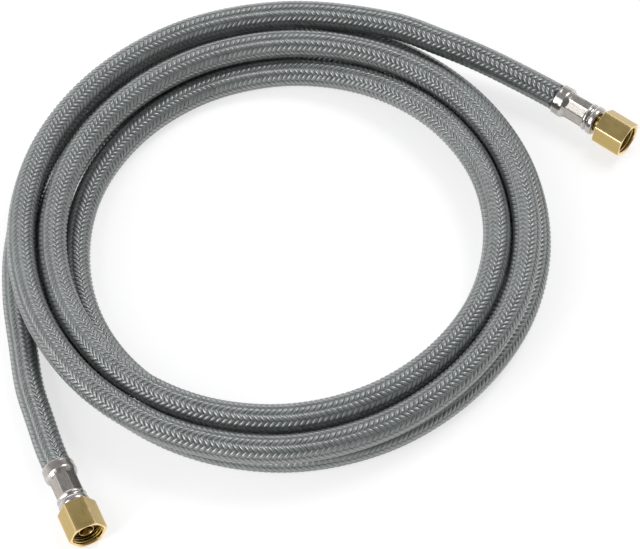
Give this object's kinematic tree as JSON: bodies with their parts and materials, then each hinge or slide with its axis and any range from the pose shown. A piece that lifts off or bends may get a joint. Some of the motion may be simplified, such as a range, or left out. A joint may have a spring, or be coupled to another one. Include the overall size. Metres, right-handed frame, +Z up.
{
  "type": "braided water supply line",
  "caption": "Flexible braided water supply hose lying in a loose coil, with a crimped metal ferrule and a brass hexagonal swivel nut at each end.",
  "frame": {"origin": "middle of the line's box, on the flat surface that it lies on", "axes": "+Z up out of the coil's plane; end a points towards +X and end b towards -Y"},
  "size_m": [0.2276, 0.2254, 0.02],
  "materials": {
    "grey_braid": "woven grey braid under a clear glossy skin",
    "inner_tube_vinyl": "matt",
    "crimped_steel": "bright, lightly brushed",
    "stem_brass": "turned",
    "nut_brass": "turned and milled",
    "washer_rubber": "matt"
  },
  "bodies": {
    "hose": {"braided_jacket": "grey_braid", "inner_tube": "inner_tube_vinyl", "crimp_ferrule_a": "crimped_steel", "crimp_ferrule_b": "crimped_steel", "barbed_stem_a": "stem_brass", "barbed_stem_b": "stem_brass", "cone_washer_a": "washer_rubber", "cone_washer_b": "washer_rubber"},
    "nut_a": {"swivel_nut_a": "nut_brass"},
    "nut_b": {"swivel_nut_b": "nut_brass"}
  },
  "joints": [
    {"name": "nut_a_swivel", "type": "hinge", "parent": "hose", "child": "nut_a", "pos_m": [0.10099, 0.06159, 0.00762], "axis": [0.7959, -0.6042, -0.0384], "continuous": true},
    {"name": "nut_b_swivel", "type": "hinge", "parent": "hose", "child": "nut_b", "pos_m": [-0.08344, -0.09983, 0.00647], "axis": [0.3987, -0.9169, 0.0175], "continuous": true}
  ]
}
